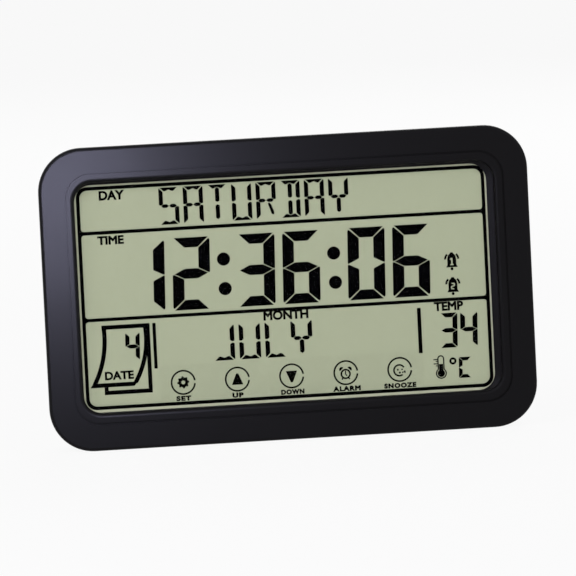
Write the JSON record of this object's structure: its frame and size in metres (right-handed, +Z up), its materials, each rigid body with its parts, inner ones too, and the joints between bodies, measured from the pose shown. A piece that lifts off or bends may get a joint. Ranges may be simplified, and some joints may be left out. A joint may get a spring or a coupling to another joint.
{
  "type": "day clock",
  "caption": "Rectangular desk and wall day clock with a wide LCD behind a clear lens, touch keys, a folding rear stand and a battery bay.",
  "frame": {"origin": "middle of the footprint that the upright clock stands on", "axes": "+X to the right seen from the front, the front faces -Y, +Z up"},
  "size_m": [0.23, 0.028, 0.1424],
  "materials": {
    "case_plastic": "satin moulded ABS, charcoal",
    "clear_lens": "polished clear acrylic",
    "foam_tape": "matt black foam tape",
    "touch_film": "clear film with printed electrodes",
    "flex_strip": "amber polyimide",
    "connector_plastic": "moulded",
    "polariser": "thin polarising film",
    "display_glass": "thin display glass",
    "reflector": "grey-green reflecting film",
    "zebra_rubber": "silicone",
    "holder_plastic": "moulded ABS, off-white",
    "circuit_board": "solder mask on glass fibre",
    "black_epoxy": "poured",
    "chip_plastic": "moulded",
    "nickel_can": "drawn can",
    "buzzer_plastic": "moulded",
    "capacitor_sleeve": "shrunk sleeve",
    "resistor_ceramic": "fired",
    "cell_jacket": "plain shrink jacket over a steel can",
    "contact_steel": "nickel-plated spring steel",
    "red_wire": "PVC",
    "black_wire": "PVC",
    "screw_steel": "zinc plated, dark"
  },
  "bodies": {
    "root": {"front_bezel": "case_plastic", "rear_cover": "case_plastic", "display_lens": "clear_lens", "lens_tape": "foam_tape", "touch_film": "touch_film", "touch_flex": "flex_strip", "flex_connector": "connector_plastic", "front_polariser": "polariser", "lcd_front_glass": "display_glass", "lcd_rear_glass": "display_glass", "rear_reflector": "reflector", "zebra_strip": "zebra_rubber", "lcd_holder": "holder_plastic", "main_board": "circuit_board", "controller_blob": "black_epoxy", "touch_chip": "chip_plastic", "crystal_can": "nickel_can", "buzzer": "buzzer_plastic", "board_capacitors": "capacitor_sleeve", "chip_resistors": "resistor_ceramic", "thermistor": "black_epoxy", "battery_cell_1": "cell_jacket", "battery_cell_2": "cell_jacket", "positive_contact": "contact_steel", "negative_spring": "contact_steel", "bridge_contact": "contact_steel", "power_wire_red": "red_wire", "power_wire_black": "black_wire", "case_screws": "screw_steel", "holder_screws": "screw_steel", "board_screws": "screw_steel"},
    "stand": {"stand": "case_plastic"},
    "battery_door": {"battery_door": "case_plastic"}
  },
  "joints": [
    {"name": "stand_hinge", "type": "hinge", "parent": "root", "child": "stand", "pos_m": [0, 0.0112, 0.066], "axis": [1, 0, 0], "range_deg": [0, 40]},
    {"name": "battery_door_hinge", "type": "hinge", "parent": "root", "child": "battery_door", "pos_m": [0.0665, 0.0139, 0.018], "axis": [-1, 0, 0], "range_deg": [0, 70]}
  ]
}
